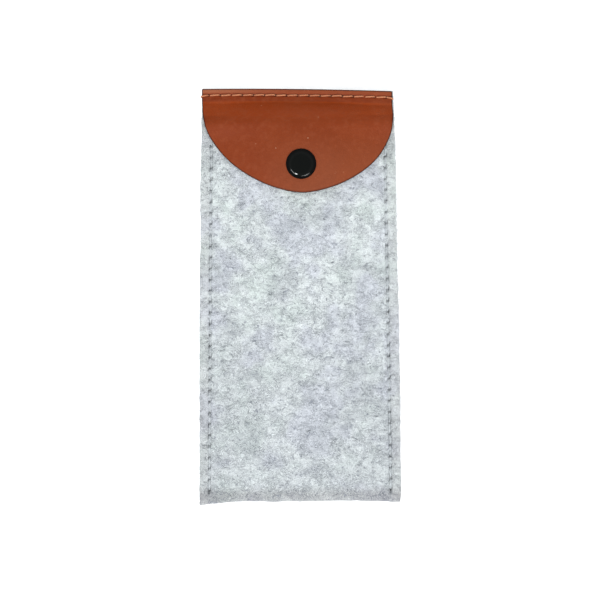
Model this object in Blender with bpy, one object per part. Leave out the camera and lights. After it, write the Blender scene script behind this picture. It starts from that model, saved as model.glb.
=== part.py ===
"""A flat felt pouch for eyeglasses, with a D-shaped leather flap closed by a ring-spring snap fastener.

One felt sheet is folded in half at the bottom and sewn down both sides. The flap's straight edge is sewn on
the inner face of the back panel, and the flap swings on the line just below that row of stitches.
The pouch lies on its back: X is its width, +Y points to the mouth and +Z out of the front panel.
"""

import math

import bmesh
import bpy

MM = 0.001

# Pouch
LENGTH = 175 * MM
BOTTOM_WIDTH = 85 * MM
TOP_WIDTH = 81 * MM
FELT = 2.5 * MM
MOUTH_BELOW_TOP = 12.3 * MM

# Free height between the two panels, on the centre line and along the seams
SEAM_GAP = 0.3 * MM
FOLD_GAP = 3.0 * MM
BODY_GAP = 7.5 * MM
MOUTH_GAP = 4.6 * MM
FOLD_RAMP = 45 * MM
WIDEST_Y = 10 * MM

# Seams
SEAM_INSET = 3.4 * MM
FLAP_ROW_INSET = 2.75 * MM
STITCH = 4.72 * MM
THREAD_RADIUS = 0.2 * MM
STRAND_OFFSET = 0.28 * MM
NEEDLE_HOLE = 0.8 * MM
HOLE_SIDES = 4
FURROW_WIDTH = 1.0 * MM
FURROW_TO_LENS = 0.7 * MM
FELT_FURROW = 0.55 * MM
LEATHER_FURROW = 0.25 * MM
FIT_GAP = 0.05 * MM
CUT = 1 * MM

# Flap
LEATHER = 1.25 * MM
FLAP_HALF_WIDTH = 40.3 * MM
ARC_BELOW_TOP = 9.9 * MM
ARC_DEPTH = 34.6 * MM
ARC_POWER = 1.66
HINGE_BELOW_ROW = 2.35 * MM
HINGE_ABOVE_LEATHER = 0.35 * MM
HINGE_SLIT = 0.3 * MM
EDGE_STANDOFF = 0.8 * MM
MOUTH_STANDOFF = 0.4 * MM
CREASE_RUN = 2.1 * MM
CREASE_RISE = 1.0 * MM
RISER_SLOPE = 1.2
BROW_RUN = 3.0 * MM
BROW_RISE = 1.75 * MM
BROW_SLOPE = 0.12
TIP_SLOPE = -0.16
SAG_RUN = 10 * MM
FLAT_RADIUS = 6.8 * MM
SLOPE_STEP = 0.05 * MM

# Snap fastener
SNAP_BELOW_TOP = 32.4 * MM
STUD_SEAT = 0.9 * MM
POST_SEAT = 0.5 * MM
SEAT_RADIUS = 5.8 * MM
FELT_HOLE = 2.1 * MM
LEATHER_HOLE = 1.9 * MM
STUD_FLANGE = 0.45 * MM
SOCKET_TOP = 2.85 * MM
RING_RADIUS = 2.52 * MM
RING_WIRE = 0.28 * MM
RING_HEIGHT = 0.83 * MM
RING_OPENING = math.radians(36)
CAP_FLANGE_LIFT = 0.3 * MM

# Mesh fineness
ROUND_SIDES = 24
SHARP_ANGLE = math.radians(40)
FOLD_STEPS = 6
FRONT_ROWS = 12
LENS_COLUMNS = (0, 0.2, 0.4, 0.56, 0.7, 0.85, 1)
EDGE_COLUMN = 2
FLAP_ROWS = 18
FLAP_ROW_GROWTH = 1.5
FLAP_COLUMNS = 16

# Levels and lines that follow from the sizes above
TOP_Y = LENGTH / 2
BOTTOM_Y = -LENGTH / 2
MOUTH_Y = TOP_Y - MOUTH_BELOW_TOP
ROW_Y = TOP_Y - FLAP_ROW_INSET
HINGE_Y = ROW_Y - HINGE_BELOW_ROW
ARC_Y = TOP_Y - ARC_BELOW_TOP
TIP_Y = ARC_Y - ARC_DEPTH
SNAP_Y = TOP_Y - SNAP_BELOW_TOP
LENS_MARGIN = FURROW_WIDTH / 2 + FURROW_TO_LENS
FOLD_TOP_Y = BOTTOM_Y + FELT + FOLD_GAP / 2
STRIP_Z = FELT + FIT_GAP
HINGE_Z = STRIP_Z + LEATHER + HINGE_ABOVE_LEATHER


def smooth(t):
    """Eases from 0 to 1 as t goes from 0 to 1."""
    t = min(max(t, 0), 1)
    return t * t * (3 - 2 * t)


def hermite(t, start, end, start_slope, end_slope):
    """Cubic from start to end as t goes from 0 to 1; the slopes are per unit of t."""
    rise = t * t * (3 - 2 * t)
    return start + (end - start) * rise + start_slope * t * (1 - t) ** 2 - end_slope * t * t * (1 - t)


def half_width(y):
    share = (y - BOTTOM_Y) / LENGTH
    return (BOTTOM_WIDTH + (TOP_WIDTH - BOTTOM_WIDTH) * share) / 2


def seam_x(y):
    return half_width(y) - SEAM_INSET


def middle_gap(y):
    """Free height between the panels on the centre line."""
    opened = smooth((y - FOLD_TOP_Y) / FOLD_RAMP)
    closed = smooth((y - WIDEST_Y) / (MOUTH_Y - WIDEST_Y))
    return FOLD_GAP + (BODY_GAP - FOLD_GAP) * opened - (BODY_GAP - MOUTH_GAP) * closed


def gap(x, y):
    """Free height between the panels: a lens that closes at the seams."""
    across = min(abs(x) / (seam_x(y) - LENS_MARGIN), 1)
    return SEAM_GAP + (middle_gap(y) - SEAM_GAP) * (1 - across**3) ** 2


def front_top(x, y):
    """Height of the front panel's outer face."""
    return 2 * FELT + gap(x, y)


SNAP_Z = front_top(0, SNAP_Y) - STUD_SEAT + FIT_GAP + STUD_FLANGE
SNAP_LEATHER_Z = SNAP_Z + SOCKET_TOP + FIT_GAP
CAP_Z = SNAP_LEATHER_Z + LEATHER + FIT_GAP


def material(name, colour, roughness, metallic=0.0):
    made = bpy.data.materials.new(name)
    made.use_nodes = True
    shader = made.node_tree.nodes["Principled BSDF"]
    shader.inputs["Base Color"].default_value = (*colour, 1)
    shader.inputs["Roughness"].default_value = roughness
    shader.inputs["Metallic"].default_value = metallic
    return made


def add_object(name, data, finish, parent=None, location=(0, 0, 0)):
    """Links an object; its location is given in the world, also where it has a parent."""
    obj = bpy.data.objects.new(name, data)
    obj.data.materials.append(finish)
    obj.parent = parent
    offset = parent.location if parent else (0, 0, 0)
    obj.location = [place - start for place, start in zip(location, offset)]
    bpy.context.scene.collection.objects.link(obj)
    return obj


def mesh_from(name, points, faces):
    mesh = bpy.data.meshes.new(name)
    mesh.from_pydata(points, [], faces)
    shape = bmesh.new()
    shape.from_mesh(mesh)
    bmesh.ops.recalc_face_normals(shape, faces=shape.faces)
    shape.to_mesh(mesh)
    shape.free()
    return mesh


def grid_faces(rows):
    """Faces of a grid of points that is read row by row."""
    width = len(rows[0])
    corners = [i * width + k for i in range(len(rows) - 1) for k in range(width - 1)]
    return [(here, here + width, here + width + 1, here + 1) for here in corners]


def slab(name, lower, upper):
    """A closed sheet between two matching grids of points."""
    width = len(lower[0])
    depth = len(lower)
    count = width * depth
    below = grid_faces(lower)
    above = [tuple(corner + count for corner in face) for face in below]
    rim = list(range(width)) + [i * width + width - 1 for i in range(1, depth)]
    rim += [(depth - 1) * width + k for k in reversed(range(width - 1))]
    rim += [i * width for i in reversed(range(1, depth - 1))]
    sides = [(start, end, end + count, start + count) for start, end in zip(rim, rim[1:] + rim[:1])]
    points = [point for row in lower + upper for point in row]
    return mesh_from(name, points, below + above + sides)


def turned(name, profile, finish, parent=None, location=(0, 0, 0)):
    """A turned piece. The profile is a list of (radius, height): a closed loop, or a line from axis to axis."""
    on_axis = profile[0][0] == 0
    rings = []
    points = []
    for radius, height in profile:
        count = 1 if radius == 0 else ROUND_SIDES
        rings.append(range(len(points), len(points) + count))
        for k in range(count):
            turn = math.tau * k / ROUND_SIDES
            points.append((radius * math.cos(turn), radius * math.sin(turn), height))
    pairs = list(zip(rings, rings[1:]))
    if not on_axis:
        pairs.append((rings[-1], rings[0]))
    faces = []
    for upper, lower in pairs:
        for k in range(ROUND_SIDES):
            corners = [upper[k % len(upper)], lower[k % len(lower)]]
            corners += [lower[(k + 1) % len(lower)], upper[(k + 1) % len(upper)]]
            faces.append(list(dict.fromkeys(corners)))
    mesh = mesh_from(name, points, faces)
    mesh.shade_smooth()
    mesh.set_sharp_from_angle(angle=SHARP_ANGLE)
    return add_object(name, mesh, finish, parent, location)


def scaled(profile):
    return [(radius * MM, height * MM) for radius, height in profile]


def prisms(name, bars):
    """A cutter made of separate prisms, each given by two matching loops of points."""
    points = []
    faces = []
    for lower, upper in bars:
        first = len(points)
        sides = len(lower)
        points += lower + upper
        faces.append([first + k for k in reversed(range(sides))])
        faces.append([first + sides + k for k in range(sides)])
        for k in range(sides):
            after = (k + 1) % sides
            faces.append([first + k, first + after, first + sides + after, first + sides + k])
    mesh = mesh_from(name, points, faces)
    obj = bpy.data.objects.new(name, mesh)
    bpy.context.scene.collection.objects.link(obj)
    obj.hide_render = True
    obj.display_type = "WIRE"
    return obj


def ring_at(x, y, z, radius, sides):
    turns = [math.tau * (k + 0.5) / sides for k in range(sides)]
    return [(x + radius * math.cos(turn), y + radius * math.sin(turn), z) for turn in turns]


def shaft(x, y, low, high, radius, sides):
    return ring_at(x, y, low, radius, sides), ring_at(x, y, high, radius, sides)


def furrow(start, end, low, high):
    """A square groove from start to end, both (x, y), as one prism."""
    length = math.dist(start, end)
    side_x = (start[1] - end[1]) / length * FURROW_WIDTH / 2
    side_y = (end[0] - start[0]) / length * FURROW_WIDTH / 2
    loops = []
    for z in (low, high):
        loop = [(start[0] - side_x, start[1] - side_y), (end[0] - side_x, end[1] - side_y)]
        loop += [(end[0] + side_x, end[1] + side_y), (start[0] + side_x, start[1] + side_y)]
        loops.append([(x, y, z) for x, y in loop])
    return tuple(loops)


def cut(obj, cutter):
    boolean = obj.modifiers.new(cutter.name, "BOOLEAN")
    boolean.operation = "DIFFERENCE"
    boolean.object = cutter


def seam_holes(side):
    """Needle holes of a side seam, from the mouth to the fold. Side is -1 for left and 1 for right."""
    first = MOUTH_Y - STITCH / 2
    last = BOTTOM_Y + FELT + SEAM_GAP + NEEDLE_HOLE
    count = int((first - last) / STITCH) + 1
    lines = [first - STITCH * i for i in range(count)]
    return [(side * seam_x(y), y) for y in lines]


def row_holes():
    """Needle holes of the row that holds the flap, from left to right."""
    count = int(2 * (FLAP_HALF_WIDTH - NEEDLE_HOLE) / STITCH)
    return [((i - count / 2) * STITCH, ROW_Y) for i in range(count + 1)]


def stitches(name, holes, level, dip, finish):
    """One thread of a lockstitch seam: it runs at level from hole to hole and goes down to dip in each."""
    path = []
    for i, (x, y) in enumerate(holes):
        before = holes[max(i - 1, 0)]
        after = holes[min(i + 1, len(holes) - 1)]
        length = math.dist(before, after)
        along_x = (after[0] - before[0]) / length * STRAND_OFFSET
        along_y = (after[1] - before[1]) / length * STRAND_OFFSET
        if i > 0:
            path += [(x - along_x, y - along_y, level), (x - along_x, y - along_y, dip)]
        if i < len(holes) - 1:
            path += [(x + along_x, y + along_y, dip), (x + along_x, y + along_y, level)]
    curve = bpy.data.curves.new(name, "CURVE")
    curve.dimensions = "3D"
    spline = curve.splines.new("POLY")
    spline.points.add(len(path) - 1)
    for point, place in zip(spline.points, path):
        point.co = (*place, 1)
    curve.bevel_depth = THREAD_RADIUS
    curve.bevel_resolution = 0
    curve.use_fill_caps = True
    return add_object(name, curve, finish)


def felt_column(column, y):
    """X of a grid line: a share of the lens, or the sheet's own edge."""
    if abs(column) == EDGE_COLUMN:
        return math.copysign(half_width(y), column)
    return column * (seam_x(y) - LENS_MARGIN)


def felt_line(column, depth):
    """One grid line of the sheet, depth under its outer face: up the back, round the fold and up the front."""
    radius = FELT + gap(felt_column(column, BOTTOM_Y), BOTTOM_Y) / 2
    centre = BOTTOM_Y + radius
    line = [(TOP_Y, depth)]
    for k in range(FOLD_STEPS + 1):
        turn = math.pi * k / FOLD_STEPS
        line.append((centre - (radius - depth) * math.sin(turn), radius - (radius - depth) * math.cos(turn)))
    for k in range(1, FRONT_ROWS + 1):
        y = centre + (MOUTH_Y - centre) * k / FRONT_ROWS
        line.append((y, front_top(felt_column(column, y), y) - depth))
    return [(felt_column(column, y), y, z) for y, z in line]


def make_felt_body(finish):
    """The folded sheet, with the holes and furrows of its seams and the seats of the stud."""
    half = [*LENS_COLUMNS[1:], EDGE_COLUMN]
    columns = [-column for column in reversed(half)] + [0, *half]
    outer = list(zip(*[felt_line(column, 0) for column in columns]))
    inner = list(zip(*[felt_line(column, FELT) for column in columns]))
    obj = add_object("felt_body", slab("felt_body", outer, inner), finish)

    high = 2 * FELT + SEAM_GAP
    reach = half_width(ROW_Y) + CUT
    grooves = [furrow((-reach, ROW_Y), (reach, ROW_Y), -CUT, FELT_FURROW)]
    bars = [shaft(x, y, -CUT, FELT + CUT, NEEDLE_HOLE, HOLE_SIDES) for x, y in row_holes()]
    for side in (-1, 1):
        ends = [(side * seam_x(y), y) for y in (MOUTH_Y + CUT, BOTTOM_Y + FELT + SEAM_GAP)]
        grooves.append(furrow(*ends, -CUT, FELT_FURROW))
        grooves.append(furrow(*ends, high - FELT_FURROW, high + CUT))
        bars += [shaft(x, y, -CUT, high + CUT, NEEDLE_HOLE, HOLE_SIDES) for x, y in seam_holes(side)]
    cut(obj, prisms("felt_furrows", grooves))
    cut(obj, prisms("needle_holes", bars))

    outside = front_top(0, SNAP_Y)
    inside = outside - FELT
    cut(obj, prisms("stud_hole", [shaft(0, SNAP_Y, inside - CUT, outside + CUT, FELT_HOLE, ROUND_SIDES)]))
    stud_seat = shaft(0, SNAP_Y, outside - STUD_SEAT, outside + CUT, SEAT_RADIUS, ROUND_SIDES)
    post_seat = shaft(0, SNAP_Y, inside - CUT, inside + POST_SEAT, SEAT_RADIUS, ROUND_SIDES)
    cut(obj, prisms("snap_seats", [stud_seat, post_seat]))
    return obj


def make_flap_sewn_edge(finish):
    """The flap's margin under the stitches, from its cut top edge to the hinge line."""
    low = HINGE_Y + HINGE_SLIT
    base = [(-1, low), (1, low), (1, TOP_Y), (-1, TOP_Y)]
    loops = [[(x * FLAP_HALF_WIDTH, y, z) for x, y in base] for z in (STRIP_Z, STRIP_Z + LEATHER)]
    faces = [(3, 2, 1, 0), (4, 5, 6, 7)] + [(k, (k + 1) % 4, (k + 1) % 4 + 4, k + 4) for k in range(4)]
    obj = add_object("flap_sewn_edge", mesh_from("flap_sewn_edge", loops[0] + loops[1], faces), finish)
    top = STRIP_Z + LEATHER
    bars = [shaft(x, y, STRIP_Z - CUT, top + CUT, NEEDLE_HOLE, HOLE_SIDES) for x, y in row_holes()]
    cut(obj, prisms("edge_holes", bars))
    reach = FLAP_HALF_WIDTH + CUT
    groove = furrow((-reach, ROW_Y), (reach, ROW_Y), top - LEATHER_FURROW, top + CUT)
    cut(obj, prisms("edge_furrow", [groove]))
    return obj


def crown(y):
    """Height of the flap's inner face on the centre line: up from the back panel, over the mouth, on to the tip."""
    mouth = front_top(0, MOUTH_Y) + MOUTH_STANDOFF
    knots = [(HINGE_Y, STRIP_Z, 0)]
    knots.append((HINGE_Y - CREASE_RUN, STRIP_Z + CREASE_RISE, RISER_SLOPE))
    knots.append((MOUTH_Y + CREASE_RISE, mouth - CREASE_RISE * RISER_SLOPE, RISER_SLOPE))
    knots.append((MOUTH_Y - BROW_RUN, mouth + BROW_RISE, BROW_SLOPE))
    knots.append((SNAP_Y, SNAP_LEATHER_Z, 0))
    knots.append((TIP_Y, front_top(0, TIP_Y) + EDGE_STANDOFF, TIP_SLOPE))
    for start, end in zip(knots, knots[1:]):
        if y >= end[0]:
            break
    run = start[0] - end[0]
    return hermite((start[0] - y) / run, start[1], end[1], start[2] * run, end[2] * run)


def flap_inner(x, y):
    """Height of the flap's inner face: the crown, less the fall to the sides, and held flat by the snap."""
    height = crown(y)
    share = min((height - STRIP_Z) / (crown(MOUTH_Y) - STRIP_Z), 1)
    fall = (middle_gap(y) - gap(x, y)) * share
    sag = max(height - front_top(0, y) - EDGE_STANDOFF, 0) * smooth((MOUTH_Y - y) / SAG_RUN)
    loose = height - fall - sag * smooth(abs(x) / FLAP_HALF_WIDTH)
    away = smooth((math.hypot(x, y - SNAP_Y) - FLAT_RADIUS) / (2 * FLAT_RADIUS))
    return SNAP_LEATHER_Z + (loose - SNAP_LEATHER_Z) * away


def flap_column(k):
    """X of a column of the flap's grid, and the Y where it ends on the flap's round edge."""
    turn = math.pi * k / FLAP_COLUMNS
    x = math.copysign(abs(math.cos(turn)) ** (2 / ARC_POWER), -math.cos(turn))
    return x * FLAP_HALF_WIDTH, ARC_Y - ARC_DEPTH * math.sin(turn)


def make_flap_panel(finish, hinge):
    """The swinging part of the flap: a D with its round edge towards the pouch's bottom."""
    lower = []
    upper = []
    for i in range(FLAP_ROWS + 1):
        share = (i / FLAP_ROWS) ** FLAP_ROW_GROWTH
        below = []
        above = []
        for k in range(FLAP_COLUMNS + 1):
            x, end = flap_column(k)
            y = HINGE_Y + (end - HINGE_Y) * share
            z = flap_inner(x, y)
            slope = (flap_inner(x, y + SLOPE_STEP) - z) / SLOPE_STEP if i > 0 else 0
            length = math.hypot(slope, 1)
            below.append((x, y - HINGE_Y, z - HINGE_Z))
            above.append((x, y - HINGE_Y - LEATHER * slope / length, z - HINGE_Z + LEATHER / length))
        lower.append(below)
        upper.append(above)
    mesh = slab("flap_panel", lower, upper)
    obj = add_object("flap_panel", mesh, finish, hinge, hinge.location)
    bore = shaft(0, SNAP_Y, SNAP_LEATHER_Z - CUT, CAP_Z + CUT, LEATHER_HOLE, ROUND_SIDES)
    cut(obj, prisms("cap_post_hole", [bore]))
    return obj


def make_threads(grey, tan):
    front = 2 * FELT + SEAM_GAP - FELT_FURROW + FIT_GAP + THREAD_RADIUS
    back = FELT_FURROW - FIT_GAP - THREAD_RADIUS
    middle = FELT + SEAM_GAP / 2
    meet = THREAD_RADIUS + FIT_GAP
    for side, word in ((-1, "left"), (1, "right")):
        holes = seam_holes(side)
        stitches(f"{word}_seam_needle_thread", holes, front, middle + meet, grey)
        stitches(f"{word}_seam_bobbin_thread", holes, back, middle - meet, grey)
    top = STRIP_Z + LEATHER - LEATHER_FURROW + FIT_GAP + THREAD_RADIUS
    meeting = STRIP_Z - FELT / 2
    stitches("flap_row_needle_thread", row_holes(), top, meeting + meet, tan)
    stitches("flap_row_bobbin_thread", row_holes(), back, meeting - meet, tan)


def make_snap(black, metal, hinge):
    """The fastener's pieces, with heights measured from the top of the stud's flange."""
    base = (0, SNAP_Y, SNAP_Z)
    stud = [(0, 2), (2.15, 2), (2.5, 1.75), (2.65, 1.4), (2.6, 1.25), (2.15, 0.9), (2.15, 0.2), (2.4, 0)]
    stud += [(5.1, -0.05), (5.2, -0.3), (5, -0.45), (1.85, -0.45), (1.85, 1.3), (1.6, 1.6), (0, 1.65)]
    turned("snap_stud", scaled(stud), metal, None, base)

    under = -(FELT - STUD_SEAT - POST_SEAT + STUD_FLANGE + 2 * FIT_GAP) / MM
    rivet = [(1.15, 1.2), (1.7, 1.2), (1.75, 1.05), (1.65, 0.8), (1.65, under), (4.7, under)]
    rivet += [(4.85, under - 0.15), (4.6, under - 0.4), (1.6, under - 0.5), (1.15, under - 0.35)]
    turned("snap_stud_post", scaled(rivet), metal, None, base)

    socket = [(1.75, 2.85), (5.3, 2.85), (5.4, 2.75), (5.3, 2.55), (4.45, 2.5), (4.4, 0.35), (4.2, 0.2)]
    socket += [(3.2, 0.2), (3.2, 0.5), (4.05, 0.5), (4.05, 2.55), (1.75, 2.55)]
    turned("snap_socket", scaled(socket), metal, hinge, base)

    flange = (CAP_Z - SNAP_Z + CAP_FLANGE_LIFT) / MM
    post = [(1.05, flange + 0.35), (5.9, flange + 0.35), (5.9, flange), (1.55, flange), (1.55, 2.5)]
    post += [(2.1, 2.45), (2.2, 2.35), (2, 2.25), (1.5, 2.3), (1.05, 2.5)]
    turned("snap_cap_post", scaled(post), metal, hinge, base)

    cover = [(0, 1.55), (3.6, 1.53), (5, 1.42), (5.8, 1.15), (6.35, 0.75), (6.55, 0.35), (6.5, 0.08)]
    cover += [(6.3, 0), (5.6, 0), (5.6, 0.25), (6.15, 0.25), (6.2, 0.5), (5.95, 0.8), (5.5, 0.98)]
    cover += [(4.8, 1.08), (0, 1.2)]
    turned("snap_cap", scaled(cover), black, hinge, (0, SNAP_Y, CAP_Z))

    wire = bpy.data.curves.new("snap_ring_spring", "CURVE")
    wire.dimensions = "3D"
    spline = wire.splines.new("POLY")
    spline.points.add(ROUND_SIDES)
    for k, point in enumerate(spline.points):
        turn = RING_OPENING / 2 + (math.tau - RING_OPENING) * k / ROUND_SIDES
        point.co = (RING_RADIUS * math.cos(turn), RING_RADIUS * math.sin(turn), RING_HEIGHT, 1)
    wire.bevel_depth = RING_WIRE
    wire.bevel_resolution = 1
    wire.use_fill_caps = True
    add_object("snap_ring_spring", wire, metal, hinge, base)


def main():
    for obj in list(bpy.data.objects):
        bpy.data.objects.remove(obj)
    felt = material("grey_felt", (0.62, 0.67, 0.69), 0.95)
    leather = material("tan_leather", (0.28, 0.06, 0.02), 0.45)
    grey = material("grey_thread", (0.45, 0.48, 0.5), 0.8)
    tan = material("tan_thread", (0.6, 0.24, 0.1), 0.6)
    black = material("black_enamel", (0.01, 0.01, 0.01), 0.15)
    metal = material("black_nickel", (0.12, 0.12, 0.13), 0.3, 1.0)

    hinge = bpy.data.objects.new("flap_hinge", None)
    hinge.location = (0, HINGE_Y, HINGE_Z)
    bpy.context.scene.collection.objects.link(hinge)

    make_felt_body(felt)
    make_flap_sewn_edge(leather)
    make_flap_panel(leather, hinge)
    make_threads(grey, tan)
    make_snap(black, metal, hinge)


main()
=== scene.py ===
"""The looks of a felt eyeglasses pouch with a leather flap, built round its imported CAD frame."""

import math

import bmesh
import bpy
import numpy as np
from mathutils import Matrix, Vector, noise


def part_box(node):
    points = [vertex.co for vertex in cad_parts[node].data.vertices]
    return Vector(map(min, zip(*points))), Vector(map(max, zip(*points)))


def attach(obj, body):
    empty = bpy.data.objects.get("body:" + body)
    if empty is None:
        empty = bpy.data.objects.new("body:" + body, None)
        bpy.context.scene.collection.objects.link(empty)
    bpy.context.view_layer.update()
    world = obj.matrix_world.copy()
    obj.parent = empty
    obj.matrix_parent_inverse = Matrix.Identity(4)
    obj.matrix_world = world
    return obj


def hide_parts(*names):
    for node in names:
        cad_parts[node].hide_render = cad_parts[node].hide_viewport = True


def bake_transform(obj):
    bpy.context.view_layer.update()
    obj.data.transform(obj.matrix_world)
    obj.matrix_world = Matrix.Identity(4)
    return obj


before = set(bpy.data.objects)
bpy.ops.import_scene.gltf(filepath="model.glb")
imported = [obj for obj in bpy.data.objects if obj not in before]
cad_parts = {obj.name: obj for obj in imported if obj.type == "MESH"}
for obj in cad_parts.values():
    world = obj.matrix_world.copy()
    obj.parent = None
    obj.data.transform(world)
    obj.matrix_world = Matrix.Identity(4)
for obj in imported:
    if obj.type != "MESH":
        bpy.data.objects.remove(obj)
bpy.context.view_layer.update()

MM = 0.001

# The pouch, as the CAD has it
LENGTH = 175 * MM
BOTTOM_WIDTH = 85 * MM
TOP_WIDTH = 81 * MM
FELT = 2.5 * MM
SEAM_GAP = 0.3 * MM
FOLD_GAP = 3.0 * MM
BODY_GAP = 7.5 * MM
MOUTH_GAP = 4.6 * MM
FOLD_RAMP = 45 * MM
WIDEST_Y = 10 * MM
LENS_MARGIN = 1.2 * MM
TOP_Y = LENGTH / 2
BOTTOM_Y = -LENGTH / 2
MOUTH_Y = TOP_Y - 12.3 * MM
SNAP_Y = TOP_Y - 32.4 * MM
ROW_Y = TOP_Y - 2.75 * MM
HINGE_Y = ROW_Y - 2.35 * MM
STITCH = 4.72 * MM
LAST_HOLE_INSET = 0.8 * MM
# The CAD has its side seams 3.4 mm from the edge
SEAM_INSET = 3.9 * MM

# The flap, as the CAD has it, but for its half width, which is 40.3 mm there
LEATHER = 1.25 * MM
FLAP_HALF_WIDTH = 40.5 * MM
ARC_Y = TOP_Y - 9.9 * MM
ARC_DEPTH = 34.6 * MM
ARC_POWER = 1.66
STRIP_Z = FELT + 0.05 * MM
TIP_Y = ARC_Y - ARC_DEPTH

# Heights of the snap's pieces come from the CAD's boxes, and its place along the pouch is the CAD's
STUD_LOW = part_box("snap_stud")[0].z
SOCKET_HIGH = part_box("snap_socket")[1].z
CAP_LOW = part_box("snap_cap")[0].z
STUD_BASE = STUD_LOW + 0.45 * MM
SNAP_LEATHER_Z = SOCKET_HIGH + 0.05 * MM

# The real flap is cut and sewn a little askew: its round end and its snap stand right of the middle,
# and its sewn edge falls towards the right. The CAD doesn't have this: its flap is straight and its
# snap stands at x = 0, so all the snap's pieces here are SNAP_X to the right of their CAD nodes
SNAP_X = 1.2 * MM
FLAP_LEAN = 2.3 * MM
FLAP_START = -0.35 * MM
LEAN_RUN = 36 * MM
EDGE_FALL = 0.7 * MM
EDGE_BOW = 0.43 * MM
FALL_END = 6 * MM
FALL_RUN = 7 * MM

# The pouch's long sides bow out, where the CAD's are straight
SIDE_BULGE = 0.45 * MM
BULGE_START = 36 * MM
BULGE_RUN = 6 * MM

rng = np.random.default_rng(7)


def smooth(t):
    t = np.clip(t, 0, 1)
    return t * t * (3 - 2 * t)


def hermite(t, start, end, start_slope, end_slope):
    rise = t * t * (3 - 2 * t)
    return start + (end - start) * rise + start_slope * t * (1 - t) ** 2 - end_slope * t * t * (1 - t)


def half_width(y):
    share = (y - BOTTOM_Y) / LENGTH
    return (BOTTOM_WIDTH + (TOP_WIDTH - BOTTOM_WIDTH) * share) / 2


def bulged(points):
    """The points with the slight outward bow of the pouch's long sides."""
    moved = np.array(points, float)
    bow = SIDE_BULGE * np.sin(math.pi * np.clip((moved[:, 1] - BOTTOM_Y) / LENGTH, 0, 1))
    moved[:, 0] += bow * np.sign(moved[:, 0]) * smooth((np.abs(moved[:, 0]) - BULGE_START) / BULGE_RUN)
    return moved


def seam_x(y):
    return half_width(y) - SEAM_INSET


def middle_gap(y):
    opened = smooth((y - BOTTOM_Y - FELT - FOLD_GAP / 2) / FOLD_RAMP)
    closed = smooth((y - WIDEST_Y) / (MOUTH_Y - WIDEST_Y))
    return FOLD_GAP + (BODY_GAP - FOLD_GAP) * opened - (BODY_GAP - MOUTH_GAP) * closed


def gap(x, y):
    across = np.minimum(np.abs(x) / (seam_x(y) - LENS_MARGIN), 1)
    return SEAM_GAP + (middle_gap(y) - SEAM_GAP) * (1 - across**3) ** 2


def front_top(x, y):
    return 2 * FELT + gap(x, y)


def noise_at(points, scale, seed, octaves=3):
    """Fractal noise of about -1 to 1 at each point, its features 1 / scale metres wide."""
    shift = Vector((seed * 3.7, seed * 1.3, seed * 2.9))
    return np.array([noise.fractal(Vector(p) * scale + shift, 0.8, 2.0, octaves) for p in points])


def fall(x):
    """How far the flap's sewn edge and its row of stitches have come down at x."""
    share = x / FLAP_HALF_WIDTH
    return EDGE_FALL * share + EDGE_BOW * share * share


def lean(y):
    """How far right of the middle the flap is at y."""
    return FLAP_START + FLAP_LEAN * smooth((ROW_Y - y) / LEAN_RUN)


def seam_holes(side):
    first = MOUTH_Y - STITCH / 2
    last = BOTTOM_Y + FELT + SEAM_GAP + LAST_HOLE_INSET
    lines = [first - STITCH * i for i in range(int((first - last) / STITCH) + 1)]
    return [(side * seam_x(y), y) for y in lines]


def row_holes():
    count = int(2 * (FLAP_HALF_WIDTH - LAST_HOLE_INSET) / STITCH)
    return [((i - count / 2) * STITCH, ROW_Y) for i in range(count + 1)]


def lowered(points):
    """The points with the sewn edge's fall, which fades out below the hinge."""
    moved = np.array(points, float)
    share = smooth((moved[:, 1] - HINGE_Y + FALL_END) / FALL_RUN)
    moved[:, 1] -= fall(moved[:, 0]) * share
    return moved


# ---------------------------------------------------------------- objects


def add_piece(name, points, faces, finish, body):
    mesh = bpy.data.meshes.new(name)
    mesh.from_pydata([tuple(p) for p in points], [], [tuple(int(c) for c in face) for face in faces])
    return add_mesh(name, mesh, finish, body)


def add_mesh(name, mesh, finish, body):
    obj = bpy.data.objects.new(name, mesh)
    mesh.materials.append(finish)
    mesh.shade_smooth()
    bpy.context.scene.collection.objects.link(obj)
    if body:
        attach(obj, body)
    return obj


def paint(obj, name, values):
    """Stores one number a point, which the piece's material reads."""
    layer = obj.data.attributes.new(name, "FLOAT", "POINT")
    layer.data.foreach_set("value", np.asarray(values, np.float32))


def face_outwards(mesh):
    shape = bmesh.new()
    shape.from_mesh(mesh)
    bmesh.ops.recalc_face_normals(shape, faces=shape.faces)
    shape.to_mesh(mesh)
    shape.free()


# ---------------------------------------------------------------- materials


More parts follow.
